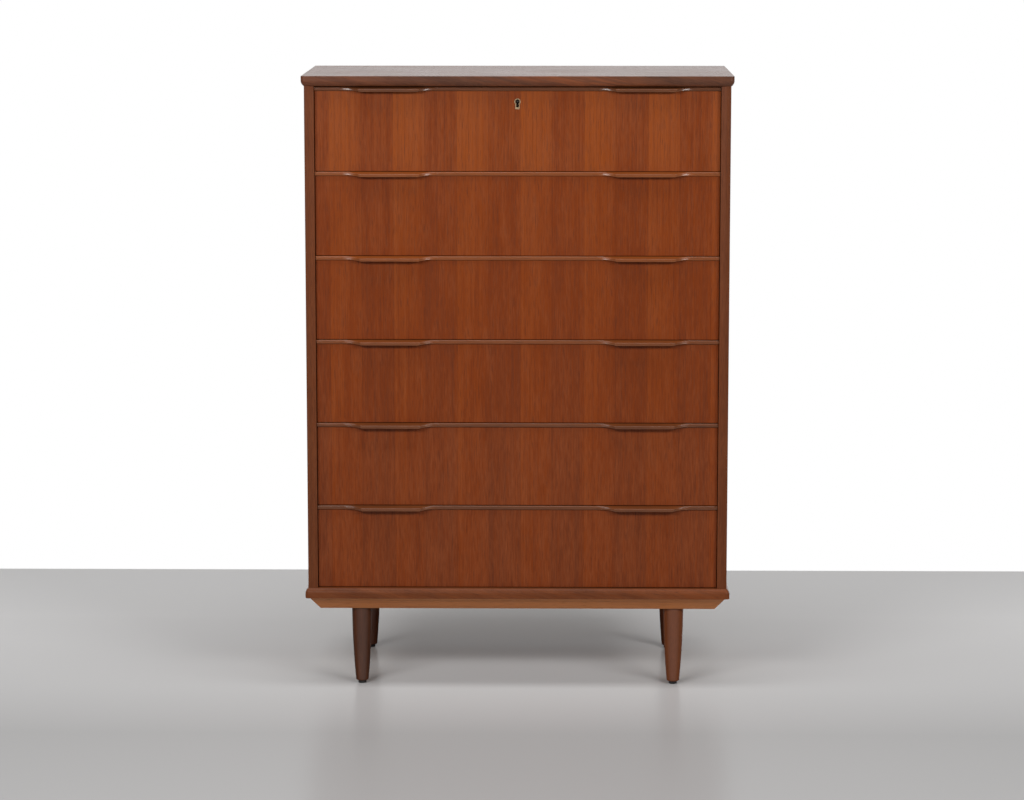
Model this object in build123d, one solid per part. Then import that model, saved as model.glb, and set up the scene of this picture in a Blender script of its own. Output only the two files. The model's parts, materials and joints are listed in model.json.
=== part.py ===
from build123d import *
from math import atan2, cos, sin, sqrt
import os

# Tall chest of six drawers on a bevelled base with four turned legs.
# The origin is on the floor under the middle of the chest, +X is to the right, +Y to the back
# and +Z up. The drawers open towards -Y. Sizes are in millimetres.

# Whole chest
overall_width = 900.0
overall_depth = 430.0
overall_height = 1300.0

# Moulded edge of the top panel, and of the bottom panel upside down
slab_thickness = 21.2
slab_upright = 9.5  # upright part of the edge
slab_undercut = 6.5  # how far the edge curves in past the upright part
slab_corner_radius = 8.0
slab_edge_round = 1.0

# Side panels and back panel
side_thickness = 20.0
stile_bevel_width = 11.0  # inner part of the side's front edge, which slopes back
stile_bevel_depth = 3.0
stile_edge_round = 1.0
back_thickness = 6.0
back_lap = 10.0  # how far the back panel reaches into the rabbets round it
back_clearance = 0.5

# Bevelled base under the bottom panel
base_height = 27.0
base_setback = 8.5  # upper edge of the base behind the edge of the bottom panel
base_bevel = 22.0
base_rail_width = 26.0
base_back_rail_width = 12.0
bearer_width = 90.0

# Legs, bolts and glides
leg_height = 168.0  # floor to the underside of the base
leg_side_inset = 117.0  # leg centre to the end of the bottom panel
leg_front_inset = 56.0
leg_back_inset = 32.0
leg_top_radius = 21.0
leg_foot_radius = 13.6
leg_swell = 1.7  # how far the taper bulges in the middle
leg_foot_round = 2.5
leg_bolt_radius = 4.0
leg_bolt_in_leg = 34.0
leg_bolt_in_bearer = 22.0
glide_radius = 8.9
glide_height = 6.5
glide_round = 1.5
glide_pin_radius = 1.6
glide_pin_length = 16.0

# Drawers
drawer_count = 6
gap_above_drawers = 1.7
gap_between_drawers = 1.1
gap_below_drawers = 1.1
gap_beside_drawers = 1.0
drawer_setback = 11.5  # veneered face behind the front edges of the side panels
drawer_length = 392.0  # veneered face to the back end of the drawer's sides
front_thickness = 20.0
front_edge_round = 0.8
drawer_side_thickness = 12.0
drawer_side_lift = 8.0  # lower edge of the side above the lower edge of the front
drawer_side_drop = 25.0  # upper edge of the side below the top of the front
drawer_back_thickness = 12.0
drawer_back_inset = 10.0  # back of the drawer to the back end of its sides
drawer_back_drop = 6.0
drawer_back_housing = 4.0
drawer_bottom_thickness = 5.0
drawer_bottom_lift = 10.0  # underside of the bottom above the lower edge of the side
drawer_bottom_groove = 5.0
panel_clearance = 0.1
tail_count = 5
tail_length = 13.0
tail_root_gap = 12.0
tail_slope = 1 / 6

# Runners that the grooved drawer sides hang on
runner_groove_depth = 7.0
runner_height = 13.4
runner_clearance = 0.3
runner_stop_gap = 0.5
runner_front_inset = 9.0  # front end of the runner behind the back of the drawer's front
runner_back_gap = 8.0  # back end of the runner to the back panel
runner_screw_inset = 45.0

# Pull rail along the top of each drawer front, with two carved lips
rail_height = 9.0
rail_upright = 6.2
rail_proud = 4.0  # plain rail in front of the veneered face
rail_top_flat = 2.0  # level part of the rail's top in front of the veneered face
rail_nose_drop = 0.8
rail_nose_round = 2.0
rail_edge_round = 0.7
lip_length = 124.0
lip_spacing = 535.0
lip_reach = 13.5  # lip in front of the plain rail
lip_run = 40.0  # length of the scoop at each end of a lip
lip_steps = 6
scoop_tilt = 1.2  # how far the top of the rail's front leans back in a scoop
scoop_peak = 2.6  # makes that lean greatest a third of the way from the plain rail to the lip
lip_top_drop = 3.7
lip_low_drop = 9.8
lip_slant = 0.4  # how much narrower a lip gets at each end for each millimetre down
lip_hollow = 4.0  # how far the lip's underside is scooped out above its edge
rail_curve = 0.45  # roundness of the plain rail's underside
cove_front = 0.75  # where the scoop under a lip is deepest, as shares of its depth
cove_back = 0.25

# Drawer lock, keyhole and strike
lock_half_width = 22.0
lock_depth = 12.0
lock_height = 48.0
lock_plate = 1.6
lock_wing = 9.0  # plate past the lock's box at each side
lock_wall = 1.5
lock_clearance = 0.2
key_drop = 30.6  # keyhole centre below the top of the drawer
key_pin_radius = 1.4
key_pin_stand = 2.0  # pin in front of the lock's box
keyhole_radius = 4.7
keyhole_slot = 5.0
keyhole_slot_drop = 11.8
liner_wall = 1.9
liner_foot = 2.1  # thickness under the slot, as a share of the wall
liner_depth = 6.0
liner_proud = 0.4
liner_flare = 0.35
liner_foot_round = 1.2
bolt_half_width = 8.0
bolt_thickness = 4.0
bolt_foot_half_width = 14.0
bolt_foot_height = 10.0
bolt_throw = 9.0
strike_half_width = 24.0
strike_margin = 5.0
strike_depth = 11.0

# Fasteners
fit_clearance = 0.05
dowel_radius = 4.0
dowel_in_slab = 12.0
dowel_in_side = 22.0
dowel_count = 4
dowel_inset = 48.0
screw_head_radius = 3.5
screw_head_height = 2.4
screw_radius = 1.75
screw_length = 20.0
screw_tip = 3.0
screw_slot_width = 0.9
screw_slot_depth = 1.0
lock_screw_length = 11.0
back_screws_on_side = 4
back_screws_on_end = 3
back_screw_inset = 60.0

# Places that follow from the sizes above
half_width = overall_width / 2
front_y = -overall_depth / 2
back_y = overall_depth / 2
base_top = leg_height + base_height
opening_low = base_top + slab_thickness
opening_high = overall_height - slab_thickness
side_outer = half_width - slab_undercut
side_inner = side_outer - side_thickness
side_front_y = front_y + slab_undercut
back_inner_y = back_y - back_thickness
leg_x = half_width - leg_side_inset
leg_front_y = front_y + leg_front_inset
leg_back_y = back_y - leg_back_inset

drawer_room = opening_high - opening_low - gap_above_drawers - gap_below_drawers
face_height = (drawer_room - gap_between_drawers * (drawer_count - 1)) / drawer_count
face_half_width = side_inner - gap_beside_drawers
face_y = side_front_y + drawer_setback
front_back_y = face_y + front_thickness
drawer_end_y = face_y + drawer_length
drawer_inner = face_half_width - drawer_side_thickness
drawer_side_high = face_height - drawer_side_drop
drawer_side_middle = (drawer_side_lift + drawer_side_high) / 2
drawer_back_y = drawer_end_y - drawer_back_inset
drawer_bottom_low = drawer_side_lift + drawer_bottom_lift
drawer_bottom_high = drawer_bottom_low + drawer_bottom_thickness

runner_inner = face_half_width - runner_groove_depth + runner_clearance
runner_front_y = front_back_y + runner_front_inset
runner_back_y = back_inner_y - runner_back_gap

lock_front_y = front_back_y - lock_depth
lock_top = face_height - lock_plate
bolt_y = front_back_y - lock_depth / 2
key_z = face_height - key_drop


def drawer_base(index):
    return opening_low + gap_below_drawers + (face_height + gap_between_drawers) * (drawer_count - 1 - index)


def block(x, y, z):
    spans = (x, y, z)
    middle = [(low + high) / 2 for low, high in spans]
    return Pos(*middle) * Box(*[high - low for low, high in spans])


def prism(points, direction):
    return Solid.extrude(Face(Wire.make_polygon(points)), direction)


def rod(start, direction, radius, length):
    return extrude(Plane(start, z_dir=direction) * Circle(radius), amount=length)


def turned(lines, place=(0, 0, 0)):
    # A closed outline in the XZ plane, turned round the Z axis
    return Pos(*place) * revolve(make_face(lines), axis=Axis.Z)


def mirrored(shape):
    return mirror(shape, about=Plane.YZ)


def spread(low, high, count):
    return [low + (high - low) * step / (count - 1) for step in range(count)]


def slab_edge(flip):
    # Outline of the moulded edge, from the centre of the corner rounding outwards, in the XZ plane
    outer = slab_corner_radius
    drop = slab_thickness - slab_upright
    radius = (slab_undercut**2 + drop**2) / (2 * slab_undercut)
    turn = atan2(drop, radius - slab_undercut) / 2
    knee = (outer - radius + radius * cos(turn), drop - radius * sin(turn))
    rounding = slab_edge_round * (1 - sqrt(0.5))
    points = {
        "inner low": (0, 0),
        "outer low": (outer - slab_undercut, 0),
        "knee": knee,
        "break": (outer, drop),
        "nose": (outer, slab_thickness - slab_edge_round),
        "round": (outer - rounding, slab_thickness - rounding),
        "top": (outer - slab_edge_round, slab_thickness),
        "inner top": (0, slab_thickness),
    }
    place = {name: (x, 0, slab_thickness - z if flip else z) for name, (x, z) in points.items()}
    return make_face(
        [
            Line(place["inner low"], place["outer low"]),
            ThreePointArc(place["outer low"], place["knee"], place["break"]),
            Line(place["break"], place["nose"]),
            ThreePointArc(place["nose"], place["round"], place["top"]),
            Line(place["top"], place["inner top"]),
            Line(place["inner top"], place["inner low"]),
        ]
    )


def moulded_slab(low, flip):
    edge = slab_edge(flip)
    x = half_width - slab_corner_radius
    y = front_y + slab_corner_radius
    corner = Pos(x, y, 0) * revolve(edge, axis=Axis.Z)
    end = extrude(Pos(x, y, 0) * edge, amount=back_y - y, dir=(0, 1, 0))
    front = extrude(Pos(-x, y, 0) * Rot(0, 0, -90) * edge, amount=2 * x, dir=(1, 0, 0))
    core = block((-x, x), (y, back_y), (0, slab_thickness))
    return Pos(0, 0, low) * (core + [front, end, mirrored(end), corner, mirrored(corner)])


def dowel_places():
    places = []
    for x in (-side_outer + side_thickness / 2, side_outer - side_thickness / 2):
        for y in spread(side_front_y + dowel_inset, back_inner_y - dowel_inset, dowel_count):
            places.append((x, y))
    return places


def dowels(grow):
    # Dowels in the four corners of the case, or the holes for them
    pieces = []
    length = dowel_in_slab + dowel_in_side
    for x, y in dowel_places():
        for start in (opening_high - dowel_in_side, opening_low - dowel_in_slab):
            pieces.append(rod((x, y, start - grow), (0, 0, 1), dowel_radius + grow, length + 2 * grow))
    return pieces


def screw(head, direction, length, grow):
    # Countersunk screw with its head at a place, or the hole for it
    radius = screw_radius + grow
    outline = Polyline(
        (0, 0, 0),
        (screw_head_radius + grow, 0, 0),
        (radius, 0, screw_head_height + grow),
        (radius, 0, length - screw_tip + grow),
        (0, 0, length + grow),
        close=True,
    )
    shape = turned(outline)
    if not grow:
        slot = Box(2 * screw_head_radius, screw_slot_width, 2 * screw_slot_depth)
        shape -= slot
    return Plane(head, z_dir=direction).location * shape


def runner_screws(grow):
    pieces = []
    for index in range(drawer_count):
        z = drawer_base(index) + drawer_side_middle
        for y in (runner_front_y + runner_screw_inset, runner_back_y - runner_screw_inset):
            pieces.append(screw((runner_inner, y, z), (1, 0, 0), screw_length, grow))
            pieces.append(screw((-runner_inner, y, z), (-1, 0, 0), screw_length, grow))
    return pieces


def back_screws(grow):
    pieces = []
    x_side = side_inner + back_lap / 2
    for z in spread(opening_low + back_screw_inset, opening_high - back_screw_inset, back_screws_on_side):
        for x in (-x_side, x_side):
            pieces.append(screw((x, back_y, z), (0, -1, 0), screw_length, grow))
    for x in spread(-x_side + 2 * back_screw_inset, x_side - 2 * back_screw_inset, back_screws_on_end):
        for z in (opening_low - back_lap / 2, opening_high + back_lap / 2):
            pieces.append(screw((x, back_y, z), (0, -1, 0), screw_length, grow))
    return pieces


def back_rabbet():
    reach = side_inner + back_lap
    return block((-reach, reach), (back_inner_y, back_y), (opening_low - back_lap, opening_high + back_lap))


def strike_plate():
    half_depth = bolt_thickness / 2 + strike_margin
    return block(
        (-strike_half_width, strike_half_width),
        (bolt_y - half_depth, bolt_y + half_depth),
        (opening_high, opening_high + lock_plate),
    )


def strike_mortise():
    x = bolt_half_width + 2 * lock_clearance
    y = bolt_thickness / 2 + 2 * lock_clearance
    return block((-x, x), (bolt_y - y, bolt_y + y), (opening_high, opening_high + strike_depth))


def top_panel():
    cuts = dowels(fit_clearance) + back_screws(fit_clearance)
    return moulded_slab(opening_high, False) - [back_rabbet(), strike_plate(), strike_mortise(), *cuts]


def bottom_panel():
    cuts = dowels(fit_clearance) + back_screws(fit_clearance)
    return moulded_slab(base_top, True) - [back_rabbet(), *cuts]


def right_side_panel():
    plan = Polyline(
        (side_outer, side_front_y),
        (side_outer, back_y),
        (side_inner + back_lap, back_y),
        (side_inner + back_lap, back_inner_y),
        (side_inner, back_inner_y),
        (side_inner, side_front_y + stile_bevel_depth),
        (side_inner + stile_bevel_width, side_front_y),
        close=True,
    )
    face = make_face(plan)
    front_edge = face.vertices().group_by(Axis.Y)[0].sort_by(Axis.X)[-1]
    face = fillet(front_edge, stile_edge_round)
    panel = extrude(Pos(0, 0, opening_low) * face, amount=opening_high - opening_low)
    return panel - [*dowels(fit_clearance), *runner_screws(fit_clearance), *back_screws(fit_clearance)]


def back_panel():
    reach = side_inner + back_lap - back_clearance
    low = opening_low - back_lap + back_clearance
    high = opening_high + back_lap - back_clearance
    return block((-reach, reach), (back_inner_y, back_y), (low, high)) - back_screws(fit_clearance)


def base_front_rail():
    x = half_width - base_setback
    y = front_y + base_setback
    section = [
        (-x, y, base_top),
        (-x, y + base_rail_width, base_top),
        (-x, y + base_rail_width, leg_height),
        (-x, y + base_bevel, leg_height),
    ]
    plan = [
        (-x, y, leg_height),
        (x, y, leg_height),
        (x - base_rail_width, y + base_rail_width, leg_height),
        (base_rail_width - x, y + base_rail_width, leg_height),
    ]
    return prism(section, (2 * x, 0, 0)) & prism(plan, (0, 0, base_height))


def base_right_rail():
    x = half_width - base_setback
    y = front_y + base_setback
    section = [
        (x, y, base_top),
        (x - base_rail_width, y, base_top),
        (x - base_rail_width, y, leg_height),
        (x - base_bevel, y, leg_height),
    ]
    plan = [
        (x, y, leg_height),
        (x, back_y, leg_height),
        (x - base_rail_width, back_y, leg_height),
        (x - base_rail_width, y + base_rail_width, leg_height),
    ]
    return prism(section, (0, back_y - y, 0)) & prism(plan, (0, 0, base_height))


def base_back_rail():
    x = half_width - base_setback - base_rail_width
    return block((-x, x), (back_y - base_back_rail_width, back_y), (leg_height, base_top))


def leg_bolts(x, grow):
    pieces = []
    for y in (leg_front_y, leg_back_y):
        start = (x, y, leg_height - leg_bolt_in_leg - grow)
        length = leg_bolt_in_leg + leg_bolt_in_bearer + 2 * grow
        pieces.append(rod(start, (0, 0, 1), leg_bolt_radius + grow, length))
    return pieces


def leg_bearer(x):
    y_low = front_y + base_setback + base_rail_width
    y_high = back_y - base_back_rail_width
    bar = block((x - bearer_width / 2, x + bearer_width / 2), (y_low, y_high), (leg_height, base_top))
    return bar - leg_bolts(x, fit_clearance)


def glide(x, y, grow):
    flat = glide_radius - glide_round + grow
    corner = glide_round * (1 - sqrt(0.5))
    pin = glide_pin_radius + grow
    tip = glide_height + glide_pin_length + grow
    outline = [
        Line((0, 0, 0), (flat, 0, 0)),
        ThreePointArc(
            (flat, 0, 0),
            (glide_radius + grow - corner, 0, corner),
            (glide_radius + grow, 0, glide_round),
        ),
        Polyline(
            (glide_radius + grow, 0, glide_round),
            (glide_radius + grow, 0, glide_height),
            (pin, 0, glide_height),
            (pin, 0, tip),
            (0, 0, tip),
            (0, 0, 0),
        ),
    ]
    return turned(outline, (x, y, 0))


def leg(x, y):
    corner = leg_foot_round * (1 - sqrt(0.5))
    swell_radius = (leg_top_radius + leg_foot_radius) / 2 + leg_swell
    foot = glide_height + leg_foot_round
    outline = [
        Line((0, 0, glide_height), (leg_foot_radius - leg_foot_round, 0, glide_height)),
        ThreePointArc(
            (leg_foot_radius - leg_foot_round, 0, glide_height),
            (leg_foot_radius - corner, 0, glide_height + corner),
            (leg_foot_radius, 0, foot),
        ),
        ThreePointArc(
            (leg_foot_radius, 0, foot),
            (swell_radius, 0, (foot + leg_height) / 2),
            (leg_top_radius, 0, leg_height),
        ),
        Polyline((leg_top_radius, 0, leg_height), (0, 0, leg_height), (0, 0, glide_height)),
    ]
    return turned(outline, (x, y, 0)) - [*leg_bolts(x, fit_clearance), glide(x, y, fit_clearance)]


def right_runners():
    pieces = []
    for index in range(drawer_count):
        z = drawer_base(index) + drawer_side_middle
        span = (z - runner_height / 2, z + runner_height / 2)
        pieces.append(block((runner_inner, side_inner), (runner_front_y, runner_back_y), span))
    return [piece - runner_screws(fit_clearance) for piece in pieces]


def tails(x):
    # Dovetails on the front end of a drawer side, or the sockets for them, wider at their tips
    pitch = (drawer_side_high - drawer_side_lift) / tail_count
    root = (pitch - tail_root_gap) / 2
    tip = root + tail_length * tail_slope
    pieces = []
    for number in range(tail_count):
        z = drawer_side_lift + pitch * (number + 0.5)
        outline = [
            (x, front_back_y, z - root),
            (x, front_back_y - tail_length, z - tip),
            (x, front_back_y - tail_length, z + tip),
            (x, front_back_y, z + root),
        ]
        pieces.append(prism(outline, (drawer_side_thickness, 0, 0)))
    return pieces


def drawer_bottom(grow):
    # Bottom of a drawer, tongued into its front, or the groove for it
    side_reach = drawer_inner + drawer_bottom_groove + grow
    heights = (drawer_bottom_low - grow, drawer_bottom_high + grow)
    front_end = front_back_y - drawer_bottom_groove - grow
    tongue = block((-drawer_inner, drawer_inner), (front_end, front_back_y), heights)
    sheet = block((-side_reach, side_reach), (front_back_y, drawer_back_y + grow), heights)
    return sheet + tongue


def drawer_back():
    reach = drawer_inner + drawer_back_housing
    depth = (drawer_back_y - drawer_back_thickness, drawer_back_y)
    heights = (drawer_bottom_high + panel_clearance, drawer_side_high - drawer_back_drop)
    return block((-reach, reach), depth, heights)


def drawer_right_side():
    board = block(
        (drawer_inner, face_half_width),
        (front_back_y, drawer_end_y),
        (drawer_side_lift, drawer_side_high),
    )
    half_groove = runner_height / 2 + runner_clearance
    groove = block(
        (face_half_width - runner_groove_depth, face_half_width),
        (runner_front_y - runner_stop_gap, drawer_end_y),
        (drawer_side_middle - half_groove, drawer_side_middle + half_groove),
    )
    bottom_groove = block(
        (drawer_inner, drawer_inner + drawer_bottom_groove + panel_clearance),
        (front_back_y, drawer_end_y),
        (drawer_bottom_low - panel_clearance, drawer_bottom_high + panel_clearance),
    )
    return board + tails(drawer_inner) - [groove, bottom_groove, drawer_back()]


def keyhole_face(margin):
    # Keyhole outline round the key's pin, grown by a margin, drawn in X and Y
    neck = keyhole_slot / 2 + margin
    foot = neck + liner_flare
    low = -keyhole_slot_drop - liner_foot * margin
    skirt = make_face(Polyline((-neck, 0), (neck, 0), (foot, low), (-foot, low), close=True))
    skirt = fillet(skirt.vertices().group_by(Axis.Y)[0], liner_foot_round)
    return Circle(keyhole_radius + margin) + skirt


def keyhole(margin, y, depth):
    plane = Plane((0, y, key_z), x_dir=(1, 0, 0), z_dir=(0, 1, 0))
    return extrude(plane * mirror(keyhole_face(margin), about=Plane.XZ), amount=depth)


def keyhole_liner():
    depth = liner_proud + liner_depth
    y = face_y - liner_proud
    return keyhole(liner_wall, y, depth) - keyhole(0, y, depth)


def lock_body(grow):
    # Outer shape of the lock: box in the drawer's front, plate on its back and plate on its top
    wing = lock_half_width + lock_wing + grow
    half = lock_half_width + grow
    low = face_height - lock_height - grow
    box = block((-half, half), (lock_front_y - grow, front_back_y), (low, lock_top))
    plate_back = front_back_y + lock_plate
    plate = block((-wing, wing), (front_back_y, plate_back), (low, face_height))
    cap = block((-wing, wing), (lock_front_y - grow, plate_back), (lock_top - grow, face_height))
    return box + [plate, cap]


def lock_screw_places():
    x = lock_half_width + lock_wing / 2
    y = front_back_y + lock_plate
    high = face_height - rail_height - 2 * screw_head_radius
    low = face_height - lock_height + 2 * screw_head_radius
    return [(side * x, y, z) for side in (-1, 1) for z in (low, high)]


def lock_screws(grow):
    return [screw(place, (0, -1, 0), lock_screw_length, grow) for place in lock_screw_places()]


def lock_bolt_shape(travel, grow):
    # Bolt with its foot inside the lock, or the room that it sweeps through
    foot_high = lock_top - lock_wall - bolt_throw - lock_clearance
    depth = (bolt_y - bolt_thickness / 2 - grow, bolt_y + bolt_thickness / 2 + grow)
    half_head = bolt_half_width + grow
    head = block((-half_head, half_head), depth, (foot_high - bolt_foot_height, face_height + travel))
    half_foot = bolt_foot_half_width + grow
    foot = block((-half_foot, half_foot), depth, (foot_high - bolt_foot_height, foot_high + travel))
    return head + foot


def lock_case():
    half = lock_half_width - lock_wall
    low = face_height - lock_height + lock_wall
    room = block(
        (-half, half),
        (lock_front_y + lock_wall, front_back_y - lock_wall),
        (low, lock_top - lock_wall),
    )
    pin_start = (0, front_back_y, key_z)
    pin = rod(pin_start, (0, -1, 0), key_pin_radius, lock_depth + key_pin_stand)
    cuts = [
        room,
        lock_bolt_shape(0, lock_clearance),
        keyhole(0, lock_front_y, lock_wall),
        *lock_screws(fit_clearance),
    ]
    return lock_body(0) - cuts + pin


def drawer_front(locked):
    board = block(
        (-face_half_width, face_half_width),
        (face_y, front_back_y),
        (0, face_height - rail_height),
    )
    edges = board.edges().group_by(Axis.Y)[0].sort_by(Axis.Z)[:-1]
    board = fillet(edges, front_edge_round)
    sockets = tails(drawer_inner)
    board -= [*sockets, *[mirrored(socket) for socket in sockets], drawer_bottom(panel_clearance)]
    if locked:
        liner_room = keyhole(liner_wall + fit_clearance, face_y, liner_depth + fit_clearance)
        key_way = keyhole(0, face_y, front_thickness - lock_depth)
        board -= [lock_body(lock_clearance), liner_room, key_way, *lock_screws(fit_clearance)]
    return board


def rail_section(x, share, lean=0):
    # Moulding in front of the veneered face at a place along the rail: share 0 is the plain rail, 1 the lip
    def between(plain, lip):
        return plain + (lip - plain) * share

    def point(reach, drop):
        shift = lean * share * ((lip_top_drop + lip_low_drop) / 2 - drop)
        return Vector(x + shift, face_y - reach, face_height - drop)

    reach = between(rail_proud, rail_proud + lip_reach)
    crest = point(rail_top_flat, 0)
    tilt = scoop_tilt * scoop_peak * sqrt(share) * (1 - share)
    nose = point(reach - tilt, between(rail_nose_drop, lip_top_drop))
    edge_drop = between(rail_upright, lip_low_drop)
    edge = point(reach, edge_drop)
    hollow_drop = lip_low_drop - lip_hollow
    round_out = rail_curve * rail_proud
    pull_front = point(between(reach, cove_front * reach), between(rail_height - round_out, hollow_drop))
    pull_back = point(between(round_out, cove_back * reach), between(rail_height, hollow_drop))
    heel = point(0, rail_height)
    nose_start = nose + (crest - nose).normalized() * rail_nose_round
    down = (edge - nose).normalized()
    nose_end = nose + down * rail_nose_round
    edge_start = edge - down * rail_edge_round
    edge_end = edge + (pull_front - edge).normalized() * rail_edge_round
    lines = [
        Line(point(0, 0), crest),
        Line(crest, nose_start),
        Bezier(nose_start, nose, nose_end),
        Line(nose_end, edge_start),
        Bezier(edge_start, edge, edge_end),
        Bezier(edge_end, pull_front, pull_back, heel),
        Line(heel, point(0, 0)),
    ]
    return make_face(lines)


def lip_scoop(end, direction):
    # Run from the end of a lip back to the plain rail, hollowed to a circle seen from above
    radius = (lip_run**2 + lip_reach**2) / (2 * lip_reach)
    sections = []
    for step in range(lip_steps + 1):
        along = lip_run * step / lip_steps
        rise = radius - sqrt(radius**2 - (lip_run - along) ** 2)
        sections.append(rail_section(end + direction * along, rise / lip_reach, direction * lip_slant))
    return loft(sections)


def rail_run(start, end):
    return extrude(rail_section(start, 0), amount=end - start, dir=(1, 0, 0))


def lip(start, end):
    return loft([rail_section(start, 1, -lip_slant), rail_section(end, 1, lip_slant)])


def pull_rail(locked):
    middle = lip_spacing / 2
    inner = middle - lip_length / 2
    outer = middle + lip_length / 2
    heights = (face_height - rail_height, face_height)
    bar = block((-face_half_width, face_half_width), (face_y, front_back_y), heights)
    plain = rail_run(-(inner - lip_run), inner - lip_run)
    right = [
        lip(inner, outer),
        lip_scoop(inner, -1),
        lip_scoop(outer, 1),
        rail_run(outer + lip_run, face_half_width),
    ]
    rail = bar + [plain, *right, *[mirrored(piece) for piece in right]]
    if locked:
        rail -= lock_body(lock_clearance)
    return rail


def save(name, *shapes):
    solids = [solid for shape in shapes for solid in shape.solids()]
    whole = solids[0] if len(solids) == 1 else Compound(solids)
    export_step(whole, os.path.join("parts", name + ".step"))


def save_case():
    save("top_panel", top_panel())
    save("bottom_panel", bottom_panel())
    right_side = right_side_panel()
    save("right_side_panel", right_side)
    save("left_side_panel", mirrored(right_side))
    save("back_panel", back_panel())
    save("case_dowels", *dowels(0))
    runners = right_runners()
    save("drawer_runners", *runners, *[mirrored(runner) for runner in runners])
    save("wood_screws", *runner_screws(0), *back_screws(0))
    save("lock_strike", strike_plate() - strike_mortise())


def save_base():
    save("base_front_rail", base_front_rail())
    right_rail = base_right_rail()
    save("base_right_rail", right_rail)
    save("base_left_rail", mirrored(right_rail))
    save("base_back_rail", base_back_rail())
    save("leg_bearers", leg_bearer(-leg_x), leg_bearer(leg_x))
    save("leg_bolts", *leg_bolts(-leg_x, 0), *leg_bolts(leg_x, 0))
    glides = []
    for y_name, y in (("front", leg_front_y), ("back", leg_back_y)):
        for x_name, x in (("left", -leg_x), ("right", leg_x)):
            save(f"{y_name}_{x_name}_leg", leg(x, y))
            glides.append(glide(x, y, 0))
    save("foot_glides", *glides)


def save_drawer(index):
    locked = index == 0
    lift = Pos(0, 0, drawer_base(index))
    name = f"drawer_{index + 1}_"
    right_side = drawer_right_side()
    save(name + "front", lift * drawer_front(locked))
    save(name + "pull_rail", lift * pull_rail(locked))
    save(name + "right_side", lift * right_side)
    save(name + "left_side", lift * mirrored(right_side))
    save(name + "back", lift * drawer_back())
    save(name + "bottom", lift * drawer_bottom(0))
    if locked:
        save("keyhole_liner", lift * keyhole_liner())
        save("lock_case", lift * lock_case())
        save("lock_bolt", lift * lock_bolt_shape(0, 0))
        save("lock_screws", *[lift * piece for piece in lock_screws(0)])


def main():
    os.makedirs("parts", exist_ok=True)
    save_case()
    save_base()
    for index in range(drawer_count):
        save_drawer(index)


if __name__ == "__main__":
    main()
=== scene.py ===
import json
import math

import bpy
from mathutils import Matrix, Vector

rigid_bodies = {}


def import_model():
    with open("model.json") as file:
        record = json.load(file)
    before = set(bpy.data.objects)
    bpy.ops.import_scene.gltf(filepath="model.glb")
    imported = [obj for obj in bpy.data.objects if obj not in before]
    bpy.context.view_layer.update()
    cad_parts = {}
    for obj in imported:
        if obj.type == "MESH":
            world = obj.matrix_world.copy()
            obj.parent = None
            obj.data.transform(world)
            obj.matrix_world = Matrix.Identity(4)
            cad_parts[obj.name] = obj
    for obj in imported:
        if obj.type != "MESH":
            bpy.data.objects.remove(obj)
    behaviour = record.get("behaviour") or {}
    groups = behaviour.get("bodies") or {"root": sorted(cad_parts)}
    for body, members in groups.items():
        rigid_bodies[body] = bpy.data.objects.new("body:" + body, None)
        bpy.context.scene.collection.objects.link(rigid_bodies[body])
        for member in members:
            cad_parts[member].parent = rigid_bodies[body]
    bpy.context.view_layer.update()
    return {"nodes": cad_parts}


for leftover in list(bpy.data.objects):  # a new Blender file brings its own cube, lamp and camera
    bpy.data.objects.remove(leftover)
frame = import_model()
nodes = frame["nodes"]


class Wire:  # an output socket that can be used in sums
    def __init__(self, web, socket):
        self.web = web
        self.socket = socket

    def sum(self, operation, first, second=0.0):
        return self.web.node("ShaderNodeMath", {"operation": operation}, {0: first, 1: second})

    def __add__(self, other):
        return self.sum("ADD", self, other)

    def __radd__(self, other):
        return self.sum("ADD", other, self)

    def __sub__(self, other):
        return self.sum("SUBTRACT", self, other)

    def __rsub__(self, other):
        return self.sum("SUBTRACT", other, self)

    def __mul__(self, other):
        return self.sum("MULTIPLY", self, other)

    def __rmul__(self, other):
        return self.sum("MULTIPLY", other, self)

    def __truediv__(self, other):
        return self.sum("DIVIDE", self, other)

    def __rtruediv__(self, other):
        return self.sum("DIVIDE", other, self)

    def __abs__(self):
        return self.sum("ABSOLUTE", self)

    def clip(self):
        return self.web.node("ShaderNodeClamp", {}, {0: self})

    def above(self, level, spread):  # 0 below the level, 1 once past it by the spread
        return ((self - level) * (1.0 / spread)).clip()


class Web:  # a node tree that is filled one node at a time
    def __init__(self, tree):
        self.tree = tree

    def put(self, socket, value):
        if isinstance(value, Wire):
            self.tree.links.new(value.socket, socket)
        elif socket.type == "RGBA" and len(value) == 3:
            socket.default_value = (*value, 1.0)
        else:
            socket.default_value = value

    def node(self, kind, settings=None, sockets=None, out=0):
        made = self.tree.nodes.new(kind)
        for name, value in (settings or {}).items():
            setattr(made, name, value)
        for key, value in (sockets or {}).items():
            self.put(made.inputs[key], value)
        if out is None:
            return None
        if isinstance(out, tuple):
            return [Wire(self, made.outputs[key]) for key in out]
        return Wire(self, made.outputs[out])


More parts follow.
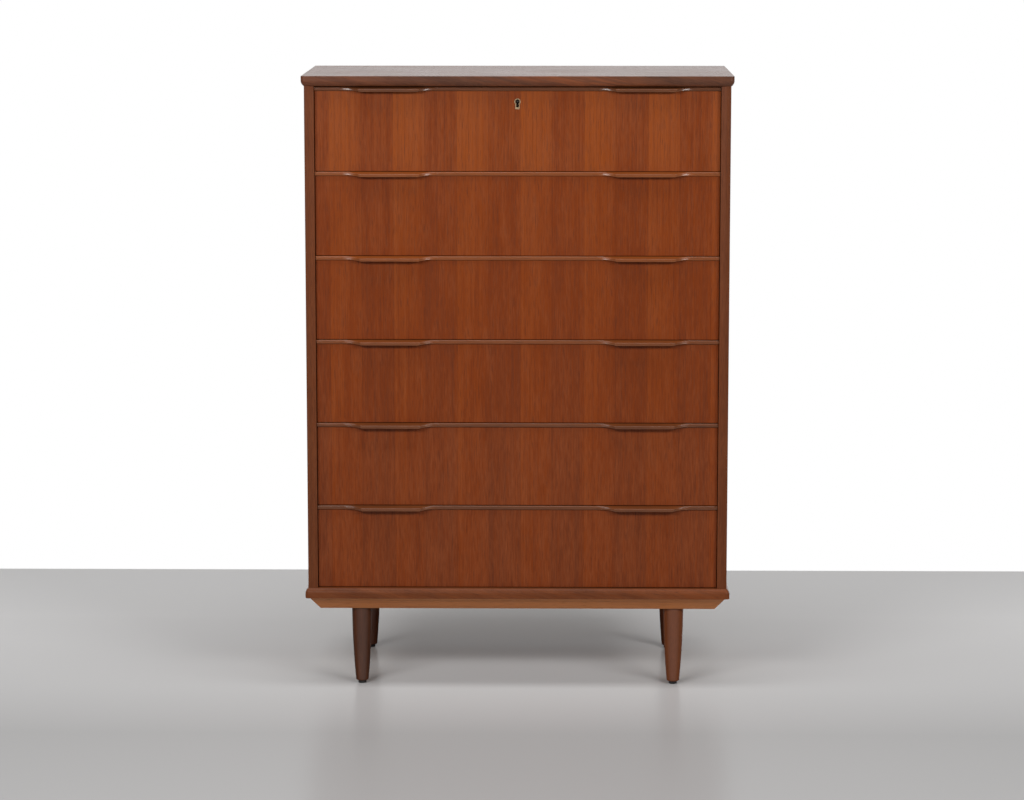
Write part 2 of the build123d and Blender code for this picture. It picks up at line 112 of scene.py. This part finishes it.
class Finish(Web):  # one procedural material
    def __init__(self, name):
        self.material = bpy.data.materials.new(name)
        self.material.use_nodes = True
        super().__init__(self.material.node_tree)
        self.shader = self.tree.nodes["Principled BSDF"]

    def noise(self, x, y, z, detail=2.0, roughness=0.5):
        spot = self.node("ShaderNodeCombineXYZ", {}, {0: x, 1: y, 2: z})
        sockets = {"Vector": spot, "Scale": 1.0, "Detail": detail, "Roughness": roughness}
        return self.node("ShaderNodeTexNoise", {"noise_dimensions": "3D"}, sockets)

    def blend(self, share, first, second):
        settings = {"data_type": "RGBA", "blend_type": "MIX"}
        return self.node("ShaderNodeMix", settings, {0: share, 6: first, 7: second}, out=2)

    def axes(self, order):  # frame coordinates in metres, in the order asked for
        place = self.node("ShaderNodeTexCoord", out="Object")
        found = self.node("ShaderNodeSeparateXYZ", {}, {0: place}, out=(0, 1, 2))
        return [found["xyz".index(letter)] for letter in order]

    def edge(self, radius, samples=4, gain=6.0):  # near 1 along the arrises of a piece
        eased = self.node("ShaderNodeBevel", {"samples": samples}, {"Radius": radius})
        plain = self.node("ShaderNodeNewGeometry", out="Normal")
        product = {"operation": "DOT_PRODUCT"}
        alike = self.node("ShaderNodeVectorMath", product, {0: eased, 1: plain}, out=1)
        return ((1 - alike) * gain).clip()

    def relief(self, height, strength, depth):
        sockets = {"Strength": strength, "Distance": depth, "Height": height}
        return self.node("ShaderNodeBump", {}, sockets)

    def done(self, sockets):
        for key, value in sockets.items():
            self.put(self.shader.inputs[key], value)
        return self.material


grainSizes = {  # counts per metre across and along the grain, then the noise's detail and roughness
    "sway": (5.0, 0.9, 1.0, 0.5),
    "band": (17.0, 0.45, 3.0, 0.55),
    "ring": (105.0, 0.9, 2.0, 0.5),
    "streak": (320.0, 1.2, 2.0, 0.6),
    "fibre": (900.0, 6.0, 1.0, 0.5),
    "pore": (1500.0, 46.0, 0.0, 0.5),
    "ripple": (58.0, 9.0, 1.0, 0.5),
    "fleck": (520.0, 42.0, 1.0, 0.5),
    "smudge": (9.0, 7.0, 3.0, 0.6),
}
woodDetail = {  # lengths in metres, the rest as shares
    "seamSharp": 4.0,  # light to dark within a few millimetres of a seam
    "leafFade": 0.6,  # what is lost of that on the way to the next seam
    "seamWidth": 0.0012, "seamFaint": 0.35,  # every other seam is fainter
    "edgingBlur": 0.0006,
    "poreFrom": 0.64, "poreBlur": 0.08,
    "veinWidth": 0.47, "veinSharp": 9.0, "veinFrom": 0.42, "veinBlur": 0.2,
    "wornFrom": 0.4, "wornBlur": 0.25,
    "fibreGloss": 0.10, "poreGloss": 0.12, "wornGloss": 0.05,
    "glanceFrom": 0.80, "glanceBlur": 0.12,
    "fibreRise": 0.5, "streakRise": 0.3, "poreDrop": 0.9, "reliefDepth": 0.0004,
}
plainWood = {  # what a wood has where its own dictionary says nothing else
    "depth": 1.0, "lift": 0.0, "fine": 1.0, "dust": 0.25, "smudge": 0.16, "bandGloss": 0.0,
    "coat": 0.0, "coatRoughness": 0.12, "coatIor": 1.5,
}


def woodFinish(name, own):
    look = {**woodDetail, **plainWood, **own}
    fin = Finish(name)
    along, across, deep = fin.axes(look["axes"])
    plain = across
    paintedLeafSheen = 0.0
    depth = look["depth"]

    if "leaf" in look:  # veneer leaves opened like a book, with a painted sheen that makes the sides light and dark in turn
        leaf = look["leaf"]
        fromSeam = across - look["seam"]
        leafNo = fromSeam.sum("FLOOR", fromSeam / leaf)
        turn = leafNo.sum("FLOORED_MODULO", leafNo, 2.0)
        across = fromSeam.sum("PINGPONG", fromSeam, leaf)
        wave = fromSeam.sum("SINE", fromSeam * (math.pi / leaf))
        side = (wave * look["seamSharp"] + 0.5).clip() - 0.5
        # painted sheen: every other leaf lighter, the next darker, fading across each leaf
        paintedLeafSheen = side * look["sheen"] * (1 - across * (look["leafFade"] / leaf))
        nearSeam = across.sum("MINIMUM", across, leaf - across)
    if "edging" in look:  # solid strip along the front, with its grain running out at a slant
        strip = 1 - across.above(look["edging"], look["edgingBlur"])
        deep = deep + along * strip * look["edgingSlant"]
        depth = strip * look["edgingDepth"] + depth

    def grain(kind, lateral):
        wide, long, detail, roughness = grainSizes[kind]
        wide *= look["fine"]
        return fin.noise(lateral * wide, deep * wide, along * long, detail, roughness)

    sway = grain("sway", across) - 0.5
    bent = across + sway * look["sway"]  # turns with the leaves
    lean = plain + sway * look["sway"]  # runs on across them
    band = grain("band", bent)
    ring = grain("ring", bent)
    streak = grain("streak", lean)
    fibre = grain("fibre", lean)
    pore = grain("pore", lean).above(look["poreFrom"], look["poreBlur"])
    ripple = grain("ripple", plain) - 0.5
    fleck = grain("fleck", lean) - 0.5
    smudge = grain("smudge", plain)

    # the grain's figure together with the painted sheen of the leaves
    figureAndSheen = paintedLeafSheen + (band - 0.5) * look["bandDepth"] + (ring - 0.5) * look["ringDepth"]
    lines = (streak - 0.5) * look["streakDepth"] + (fibre - 0.5) * look["fibreDepth"]
    tone = figureAndSheen * depth + lines + ripple * look["rippleDepth"]
    tone = (tone + (0.5 + look["lift"])).clip()
    shade = fin.blend((tone * 2.0).clip(), look["dark"], look["mid"])
    shade = fin.blend((tone * 2.0 - 1.0).clip(), shade, look["light"])
    dusty = (fleck * look["fleckDepth"] + ripple * look["mottleDepth"] + look["dust"]).clip()
    shade = fin.blend(dusty, shade, look["fleck"])
    vein = (look["veinWidth"] - abs(ring - 0.5) * look["veinSharp"]).clip()
    vein = vein * band.above(look["veinFrom"], look["veinBlur"])
    shade = fin.blend(vein * depth * look["veinDepth"], shade, look["vein"])
    shade = fin.blend(pore * look["poreDepth"], shade, look["vein"])
    if "leaf" in look:
        faint = look["seamFaint"]
        joint = (1 - nearSeam.above(0.0, look["seamWidth"])) * (faint + (1 - faint) * turn)
        shade = fin.blend(joint * look["seamDepth"], shade, look["vein"])
    # lighter along the arrises: wear, and on the pulls also a painted highlight where the rounded arrises
    # catch the lamps
    worn = fin.edge(look["wearWidth"]) * smudge.above(look["wornFrom"], look["wornBlur"])
    shade = fin.blend(worn * look["wear"], shade, look["worn"])

    gloss = look["roughness"] + (smudge - 0.5) * look["smudge"] + (band - 0.5) * look["bandGloss"]
    gloss = gloss + (fibre - 0.5) * look["fibreGloss"] + pore * look["poreGloss"] - worn * look["wornGloss"]
    coat = look["coat"]
    if "glance" in look or "coatFade" in look:
        facing = fin.node("ShaderNodeLayerWeight", {}, {"Blend": 0.5}, out="Facing")
    if "glance" in look:  # a waxed top shines more when it is seen along its surface
        gloss = gloss - facing.above(look["glanceFrom"], look["glanceBlur"]) * look["glance"]
    if "coatFade" in look:  # thin lacquer over round pieces loses its shine towards the rims
        coat = (1 - facing.above(*look["coatFade"])) * coat
    height = fibre * look["fibreRise"] + streak * look["streakRise"] - pore * look["poreDrop"]
    return fin.done({
        "Base Color": shade,
        "Roughness": gloss.clip(),
        "IOR": look["ior"],
        "Coat Weight": coat,
        "Coat Roughness": look["coatRoughness"],
        "Coat IOR": look["coatIor"],
        "Normal": fin.relief(height, look["relief"], look["reliefDepth"]),
    })


frontVeneer = {  # lifts, depths and greying from the top drawer down; the lifts darken the fronts downwards, painted shade that adds to the lamps' falloff
    "axes": "zxy", "leaf": 0.0665, "seam": 0.0063, "sheen": 0.58,
    "lifts": (0.18, 0.05, 0.02, -0.02, -0.05, -0.09),
    "depths": (1.0, 0.42, 0.42, 0.42, 0.42, 0.42),
    # how far each front is greyed towards the pale fleck colour
    "greyCasts": (0.25, 0.10, 0.06, 0.10, 0.25, 0.25),
    "light": (0.310, 0.064, 0.0070), "mid": (0.212, 0.036, 0.0030), "dark": (0.130, 0.033, 0.0125),
    "fleck": (0.290, 0.075, 0.0230), "vein": (0.085, 0.018, 0.0050), "worn": (0.330, 0.105, 0.036),
    "sway": 0.016, "bandDepth": 0.62, "ringDepth": 0.50, "streakDepth": 0.66, "fibreDepth": 0.26,
    "rippleDepth": 0.22, "fleckDepth": 1.0, "mottleDepth": 0.6, "veinDepth": 0.45, "poreDepth": 0.45,
    "seamDepth": 0.45, "wear": 0.35, "wearWidth": 0.0012, "roughness": 0.38, "relief": 0.16, "ior": 1.30,
}
caseVeneer = {
    "axes": "zyx", "leaf": 0.105, "seam": -0.2085, "sheen": 0.12,
    "light": (0.245, 0.062, 0.0130), "mid": (0.160, 0.037, 0.0075), "dark": (0.090, 0.022, 0.0060),
    "fleck": (0.215, 0.066, 0.0220), "vein": (0.046, 0.013, 0.0050), "worn": (0.260, 0.095, 0.036),
    "sway": 0.020, "bandDepth": 1.3, "ringDepth": 0.60, "streakDepth": 0.50, "fibreDepth": 0.24,
    "rippleDepth": 0.16, "fleckDepth": 0.8, "mottleDepth": 0.6, "veinDepth": 0.60, "poreDepth": 0.50,
    "seamDepth": 0.35, "wear": 0.40, "wearWidth": 0.0014, "roughness": 0.42, "relief": 0.18, "ior": 1.32,
}
slabWood = {
    "axes": "xyz", "edging": -0.2075, "edgingSlant": 0.22, "edgingDepth": 1.2, "bandGloss": 0.16,
    "light": (0.264, 0.063, 0.0130), "mid": (0.148, 0.036, 0.0095), "dark": (0.072, 0.021, 0.0085),
    "fleck": (0.200, 0.072, 0.0310), "vein": (0.040, 0.013, 0.0065), "worn": (0.250, 0.098, 0.040),
    "sway": 0.030, "bandDepth": 1.5, "ringDepth": 0.64, "streakDepth": 0.44, "fibreDepth": 0.22,
    "rippleDepth": 0.45, "fleckDepth": 0.8, "mottleDepth": 0.5, "veinDepth": 0.65, "poreDepth": 0.45,
    "wear": 0.40, "wearWidth": 0.0014, "roughness": 0.43, "smudge": 0.10, "relief": 0.05, "ior": 1.45,
    "glance": 0.15,
}
footWood = {
    **slabWood, "edgingDepth": -0.3, "mid": (0.180, 0.042, 0.0080), "light": (0.285, 0.066, 0.0115),
    "roughness": 0.42, "ior": 1.30,
}
pullWood = {  # lifts from the top drawer down
    "axes": "xzy", "lifts": (-0.44, 0.34, 0.34, 0.02, -0.34, -0.26),
    "light": (0.330, 0.078, 0.0110), "mid": (0.180, 0.045, 0.0080), "dark": (0.080, 0.025, 0.0090),
    "fleck": (0.230, 0.072, 0.0220), "vein": (0.038, 0.013, 0.0065), "worn": (0.330, 0.128, 0.050),
    "sway": 0.010, "bandDepth": 1.1, "ringDepth": 0.45, "streakDepth": 0.34, "fibreDepth": 0.22,
    "rippleDepth": 0.12, "fleckDepth": 0.5, "mottleDepth": 0.4, "veinDepth": 0.45, "poreDepth": 0.40,
    # the strong wear and pale worn colour here are partly wear, partly a painted highlight along the arrises
    # of the lips
    "wear": 0.70, "wearWidth": 0.0020, "roughness": 0.45, "relief": 0.15, "ior": 1.20,
    "coat": 1.0, "coatRoughness": 0.28, "coatFade": (0.45, 0.20),
}
baseWood = {
    "axes": "xzy",
    # lighter than the wood looks: partly a paler wood, partly painted light for the floor's bounce on the
    # downward faces
    "light": (0.620, 0.230, 0.066), "mid": (0.520, 0.174, 0.045), "dark": (0.285, 0.089, 0.026),
    "fleck": (0.446, 0.177, 0.064), "vein": (0.135, 0.044, 0.0155), "worn": (0.508, 0.226, 0.089),
    "sway": 0.014, "bandDepth": 1.0, "ringDepth": 0.50, "streakDepth": 0.36, "fibreDepth": 0.24,
    "rippleDepth": 0.14, "fleckDepth": 0.5, "mottleDepth": 0.4, "veinDepth": 0.55, "poreDepth": 0.45,
    "wear": 0.35, "wearWidth": 0.0012, "roughness": 0.42, "relief": 0.18, "ior": 1.40,
}
legWood = {
    "axes": "zxy", "fine": 1.3,
    "lifts": {
        "front_left_leg": -0.52, "front_right_leg": 0.42,
        "back_left_leg": -0.1, "back_right_leg": 0.1,
    },
    "light": (0.222, 0.061, 0.0175), "mid": (0.136, 0.037, 0.0115), "dark": (0.053, 0.017, 0.0072),
    "fleck": (0.150, 0.050, 0.0200), "vein": (0.038, 0.013, 0.0062), "worn": (0.245, 0.097, 0.044),
    "sway": 0.012, "bandDepth": 1.1, "ringDepth": 0.50, "streakDepth": 0.34, "fibreDepth": 0.22,
    "rippleDepth": 0.12, "fleckDepth": 0.5, "mottleDepth": 0.4, "veinDepth": 0.45, "poreDepth": 0.40,
    "wear": 0.45, "wearWidth": 0.0016, "roughness": 0.50, "relief": 0.15, "ior": 1.20,
    "coat": 1.0, "coatRoughness": 0.40, "coatIor": 1.6, "coatFade": (0.02, 0.30),
}
drawerWood = {
    "axes": "yzx",
    "light": (0.600, 0.410, 0.235), "mid": (0.510, 0.320, 0.165), "dark": (0.400, 0.225, 0.105),
    "fleck": (0.600, 0.430, 0.260), "vein": (0.280, 0.145, 0.066), "worn": (0.640, 0.470, 0.300),
    "sway": 0.014, "bandDepth": 1.0, "ringDepth": 0.50, "streakDepth": 0.36, "fibreDepth": 0.20,
    "rippleDepth": 0.10, "fleckDepth": 0.5, "mottleDepth": 0.4, "veinDepth": 0.35, "poreDepth": 0.40,
    "wear": 0.35, "wearWidth": 0.0012, "roughness": 0.55, "relief": 0.20, "ior": 1.40,
}
thinBoard = {
    "axes": "xyz", "fine": 0.45,
    "light": (0.580, 0.390, 0.215), "mid": (0.490, 0.310, 0.162), "dark": (0.390, 0.230, 0.110),
    "fleck": (0.580, 0.410, 0.245), "vein": (0.300, 0.165, 0.078), "worn": (0.620, 0.450, 0.280),
    "sway": 0.090, "bandDepth": 1.2, "ringDepth": 0.60, "streakDepth": 0.30, "fibreDepth": 0.18,
    "rippleDepth": 0.10, "fleckDepth": 0.5, "mottleDepth": 0.4, "veinDepth": 0.40, "poreDepth": 0.30,
    "wear": 0.30, "wearWidth": 0.0010, "roughness": 0.58, "relief": 0.20, "ior": 1.40,
}
backBoard = {
    "axes": "zxy", "fine": 0.45,
    "light": (0.430, 0.250, 0.130), "mid": (0.345, 0.188, 0.092), "dark": (0.250, 0.126, 0.058),
    "fleck": (0.420, 0.260, 0.150), "vein": (0.170, 0.080, 0.038), "worn": (0.480, 0.320, 0.190),
    "sway": 0.110, "bandDepth": 1.2, "ringDepth": 0.70, "streakDepth": 0.32, "fibreDepth": 0.18,
    "rippleDepth": 0.10, "fleckDepth": 0.5, "mottleDepth": 0.4, "veinDepth": 0.45, "poreDepth": 0.30,
    "wear": 0.30, "wearWidth": 0.0010, "roughness": 0.62, "relief": 0.22, "ior": 1.40,
}

metalDetail = {  # what every metal shares, with noise counts per metre
    "cloud": 160.0, "dullBlur": 0.22, "dullGloss": 0.22, "dullMetal": 0.25,
    "speck": 1900.0, "speckFrom": 0.60, "speckBlur": 0.1, "speckDepth": 0.25, "speckGloss": 0.1,
    "brushFrom": 0.3, "brushGain": 1.6, "brushGloss": 0.18,
    "wearWidth": 0.0006, "wear": 0.5, "wornGloss": 0.08,
    "brushRise": 0.6, "speckDrop": 0.4, "relief": 0.12, "reliefDepth": 0.0002,
}


def metalFinish(name, own):
    look = {**metalDetail, **own}
    fin = Finish(name)
    x, y, z = fin.axes("xyz")
    cloud = fin.noise(x * look["cloud"], y * look["cloud"], z * look["cloud"], detail=3.0, roughness=0.6)
    brushed = fin.noise(x * look["long"], y * look["fine"], z * look["fine"], roughness=0.6)
    speck = fin.noise(x * look["speck"], y * look["speck"], z * look["speck"], detail=1.0)
    speck = speck.above(look["speckFrom"], look["speckBlur"])
    dull = cloud.above(look["dullFrom"], look["dullBlur"])
    worn = fin.edge(look["wearWidth"])
    shade = fin.blend((brushed - look["brushFrom"]).clip() * look["brushGain"], look["deep"], look["bright"])
    shade = fin.blend(dull * look["dullDepth"], shade, look["dull"])
    shade = fin.blend(speck * look["speckDepth"], shade, look["dull"])
    shade = fin.blend(worn * look["wear"], shade, look["bright"])
    gloss = look["roughness"] + dull * look["dullGloss"] + (brushed - 0.5) * look["brushGloss"]
    gloss = gloss + speck * look["speckGloss"] - worn * look["wornGloss"]
    height = brushed * look["brushRise"] - speck * look["speckDrop"]
    return fin.done({
        "Base Color": shade,
        "Roughness": gloss.clip(),
        "Metallic": (1 - dull * look["dullMetal"]).clip(),
        "Normal": fin.relief(height, look["relief"], look["reliefDepth"]),
    })


brassLook = {
    "long": 700.0, "fine": 700.0, "dullFrom": 0.56, "dullDepth": 0.45, "roughness": 0.40,
    "bright": (0.74, 0.53, 0.33), "deep": (0.58, 0.40, 0.23), "dull": (0.26, 0.17, 0.09),
}
steelLook = {
    "long": 60.0, "fine": 2400.0, "dullFrom": 0.52, "dullDepth": 0.45, "roughness": 0.40,
    "bright": (0.20, 0.185, 0.17), "deep": (0.10, 0.092, 0.085), "dull": (0.04, 0.033, 0.028),
}
screwLook = {
    "long": 1500.0, "fine": 1500.0, "dullFrom": 0.5, "dullDepth": 0.5, "roughness": 0.34,
    "bright": (0.55, 0.54, 0.52), "deep": (0.36, 0.35, 0.33), "dull": (0.17, 0.15, 0.13),
}
glideLook = {
    "base": (0.020, 0.018, 0.017), "scuffed": (0.060, 0.057, 0.054), "roughness": 0.52, "ior": 1.46,
    "spark": 2600.0, "sparkFrom": 0.55, "sparkBlur": 0.15, "sparkDepth": 0.25,
    "cloud": 240.0, "cloudGloss": 0.2,
    "scuffWidth": 0.0012, "scuffFrom": 0.56, "scuffBlur": 0.12, "scuffSpread": 0.6,
    "scuffDepth": 0.6, "scuffGloss": 0.12, "relief": 0.14, "reliefDepth": 0.0002,
}


def glideFinish(name, look):  # moulded plastic with a fine spark texture, scuffed by the floor
    fin = Finish(name)
    x, y, z = fin.axes("xyz")
    spark = fin.noise(x * look["spark"], y * look["spark"], z * look["spark"])
    cloud = fin.noise(x * look["cloud"], y * look["cloud"], z * look["cloud"], detail=3.0, roughness=0.6)
    rubbed = cloud.above(look["scuffFrom"], look["scuffBlur"]) * look["scuffSpread"]
    scuff = (fin.edge(look["scuffWidth"]) + rubbed).clip()
    dots = spark.above(look["sparkFrom"], look["sparkBlur"])
    shade = fin.blend(scuff * look["scuffDepth"], look["base"], look["scuffed"])
    shade = fin.blend(dots * look["sparkDepth"], shade, look["scuffed"])
    gloss = look["roughness"] + (cloud - 0.5) * look["cloudGloss"] + scuff * look["scuffGloss"]
    return fin.done({
        "Base Color": shade,
        "Roughness": gloss.clip(),
        "IOR": look["ior"],
        "Normal": fin.relief(spark, look["relief"], look["reliefDepth"]),
    })


looks = {
    "caseVeneer": woodFinish("caseVeneer", caseVeneer),
    "slabWood": woodFinish("slabWood", slabWood),
    "footWood": woodFinish("footWood", footWood),
    "baseWood": woodFinish("baseWood", baseWood),
    "baseSideWood": woodFinish("baseSideWood", {**baseWood, "axes": "yzx"}),
    "drawerSideWood": woodFinish("drawerSideWood", drawerWood),
    "drawerBackWood": woodFinish("drawerBackWood", {**drawerWood, "axes": "xzy"}),
    "thinBoard": woodFinish("thinBoard", thinBoard),
    "backBoard": woodFinish("backBoard", backBoard),
    "brass": metalFinish("brassWork", brassLook),
    "lockSteel": metalFinish("lockSteel", steelLook),
    "screwSteel": metalFinish("screwSteel", screwLook),
    "glidePlastic": glideFinish("glidePlastic", glideLook),
}
fronts = zip(frontVeneer["lifts"], frontVeneer["depths"], frontVeneer["greyCasts"])
for number, (lift, depth, dust) in enumerate(fronts, 1):  # the top drawer has the strongest figure
    own = {**frontVeneer, "lift": lift, "depth": depth, "dust": dust}
    looks[f"frontVeneer{number}"] = woodFinish(f"frontVeneer{number}", own)
for number, lift in enumerate(pullWood["lifts"], 1):  # each pull and leg gets a tone lift of its own
    looks[f"pullWood{number}"] = woodFinish(f"pullWood{number}", {**pullWood, "lift": lift})
for corner, lift in legWood["lifts"].items():
    looks[corner] = woodFinish(corner + "Wood", {**legWood, "lift": lift})
print("finishes:", len(looks))

wears = {  # the ends of node names, and the finish each one takes
    "top_panel": "slabWood", "bottom_panel": "footWood",
    "side_panel": "caseVeneer", "back_panel": "backBoard",
    "base_front_rail": "baseWood", "base_back_rail": "baseWood",
    "base_right_rail": "baseSideWood", "base_left_rail": "baseSideWood",
    "_left_side": "drawerSideWood", "_right_side": "drawerSideWood",
    "_back": "drawerBackWood", "_bottom": "thinBoard",
    "drawer_runners": "drawerSideWood", "leg_bearers": "drawerBackWood", "case_dowels": "drawerSideWood",
    "lock_strike": "brass", "keyhole_liner": "brass", "lock_screws": "brass", "lock_bolt": "brass",
    "lock_case": "lockSteel", "wood_screws": "screwSteel", "leg_bolts": "screwSteel",
    "foot_glides": "glidePlastic",
}
for number in range(1, len(pullWood["lifts"]) + 1):
    wears[f"drawer_{number}_front"] = f"frontVeneer{number}"
    wears[f"drawer_{number}_pull_rail"] = f"pullWood{number}"
for corner in legWood["lifts"]:
    wears[corner] = corner
for name, node in nodes.items():
    finish = next(wears[end] for end in wears if name.endswith(end))
    for slot in node.material_slots:
        slot.material = looks[finish]
print("dressed:", len(nodes), "nodes")

studio = {
    "floorFront": -7.5, "floorBack": 1.041, "floorSide": 7.0,
    "floorTone": (0.960, 0.948, 0.944), "floorRoughness": 0.26, "floorIor": 1.12,
    "cloud": 1.3, "cloudFrom": 0.3, "cloudTone": 0.97, "cloudGloss": 0.03,
    # the tone, start and blur of a band of painted shade on the floor in front of the chest
    "paintedShadeTone": 0.49, "nearFrom": -0.6, "nearBlur": 1.1, "farFrom": -3.6, "farBlur": 1.2,
    "flagReach": 9.0, "flagTop": 6.0, "flagTone": (0.05, 0.05, 0.05),
    "fill": 0.13, "white": (1.0, 1.0, 1.0),
}
lamps = {
    "leftLight": {"place": (-1.8, -3.2, 2.2), "aim": (0.0, -0.2, 1.0), "size": (1.8, 0.6), "power": 57.0},
    "rightLight": {"place": (2.5, -3.2, 2.2), "aim": (0.0, -0.2, 1.0), "size": (1.8, 0.6), "power": 57.5},
    "topLight": {"place": (0.0, -0.85, 3.7), "aim": (0.0, -0.85, 0.0), "size": (4.2, 1.2), "power": 53.0},
}


def sheetMesh(name, corners, material):
    mesh = bpy.data.meshes.new(name)
    mesh.from_pydata(corners, [], [(0, 1, 2, 3)])
    mesh.materials.append(material)
    made = bpy.data.objects.new(name, mesh)
    bpy.context.scene.collection.objects.link(made)
    return made


def floorFinish(look):
    fin = Finish("studioFloor")
    x, y, z = fin.axes("xyz")
    cloud = fin.noise(x * look["cloud"], y * look["cloud"], z * look["cloud"], detail=3.0)
    clouded = tuple(look["cloudTone"] * c for c in look["floorTone"])
    shadedFloorTone = tuple(look["paintedShadeTone"] * c for c in look["floorTone"])
    paintedShadeBand = 1 - y.above(look["nearFrom"], look["nearBlur"])  # painted shade: a greyer band of floor in front of the chest, where the front lamps fall on it
    paintedShadeBand = paintedShadeBand * y.above(look["farFrom"], look["farBlur"])
    shade = fin.blend((cloud - look["cloudFrom"]).clip(), look["floorTone"], clouded)
    shade = fin.blend(paintedShadeBand, shade, shadedFloorTone)
    return fin.done({
        "Base Color": shade,
        "Roughness": look["floorRoughness"] + (cloud - 0.5) * look["cloudGloss"],
        "IOR": look["floorIor"],
    })


def flagFinish(look):
    fin = Finish("studioFlag")
    return fin.done({"Base Color": look["flagTone"], "Roughness": 1.0, "Specular IOR Level": 0.0})


side, front, back = studio["floorSide"], studio["floorFront"], studio["floorBack"]
sheetMesh(
    "studioFloor",
    [(-side, front, 0.0), (side, front, 0.0), (side, back, 0.0), (-side, back, 0.0)],
    floorFinish(studio),
)
reach, top = studio["flagReach"], studio["flagTop"]
flags = {  # dark cloths that only dim reflections; the back stays open to the white wall
    "frontFlag": [(-reach, -reach, 0.0), (reach, -reach, 0.0), (reach, -reach, top), (-reach, -reach, top)],
    "leftFlag": [(-reach, -reach, 0.0), (-reach, reach, 0.0), (-reach, reach, top), (-reach, -reach, top)],
    "rightFlag": [(reach, -reach, 0.0), (reach, reach, 0.0), (reach, reach, top), (reach, -reach, top)],
    "roofFlag": [(-reach, -reach, top), (reach, -reach, top), (reach, reach, top), (-reach, reach, top)],
}
cloth = flagFinish(studio)
for name, corners in flags.items():
    flag = sheetMesh(name, corners, cloth)
    for ray in ("camera", "diffuse", "transmission", "volume_scatter", "shadow"):
        setattr(flag, "visible_" + ray, False)

world = bpy.data.worlds.new("studioWorld")
world.use_nodes = True
world.node_tree.nodes.clear()
bpy.context.scene.world = world
sky = Web(world.node_tree)
straight, mirrored, through = sky.node(
    "ShaderNodeLightPath", out=("Is Camera Ray", "Is Glossy Ray", "Is Transmission Ray")
)
seen = (straight + mirrored + through).clip()
dim = sky.node("ShaderNodeBackground", {}, {"Color": studio["white"], "Strength": studio["fill"]})
wall = sky.node("ShaderNodeBackground", {}, {"Color": studio["white"], "Strength": 1.0})
backdrop = sky.node("ShaderNodeMixShader", {}, {0: seen, 1: dim, 2: wall})
sky.node("ShaderNodeOutputWorld", {}, {0: backdrop}, out=None)


def softLight(name, look):
    lamp = bpy.data.lights.new(name, "AREA")
    lamp.shape = "RECTANGLE"
    lamp.size, lamp.size_y = look["size"]
    lamp.energy = look["power"]
    made = bpy.data.objects.new(name, lamp)
    made.location = look["place"]
    towards = Vector(look["aim"]) - Vector(look["place"])
    made.rotation_euler = towards.to_track_quat("-Z", "Y").to_euler()
    bpy.context.scene.collection.objects.link(made)


for name, look in lamps.items():
    softLight(name, look)

view = {"place": (0.0823, -7.095, 1.6702), "down": 8.662, "left": 0.778, "lens": 116.45, "sensor": 36.0}
lens = bpy.data.cameras.new("photoCamera")
lens.sensor_fit = "HORIZONTAL"
lens.sensor_width = view["sensor"]
lens.lens = view["lens"]
camera = bpy.data.objects.new("photoCamera", lens)
camera.location = view["place"]
camera.rotation_euler = (math.radians(90.0 - view["down"]), 0.0, math.radians(view["left"]))
bpy.context.scene.collection.objects.link(camera)
bpy.context.scene.camera = camera
bpy.context.scene.view_settings.view_transform = "Standard"
print("studio: floor, flags, lights and camera")
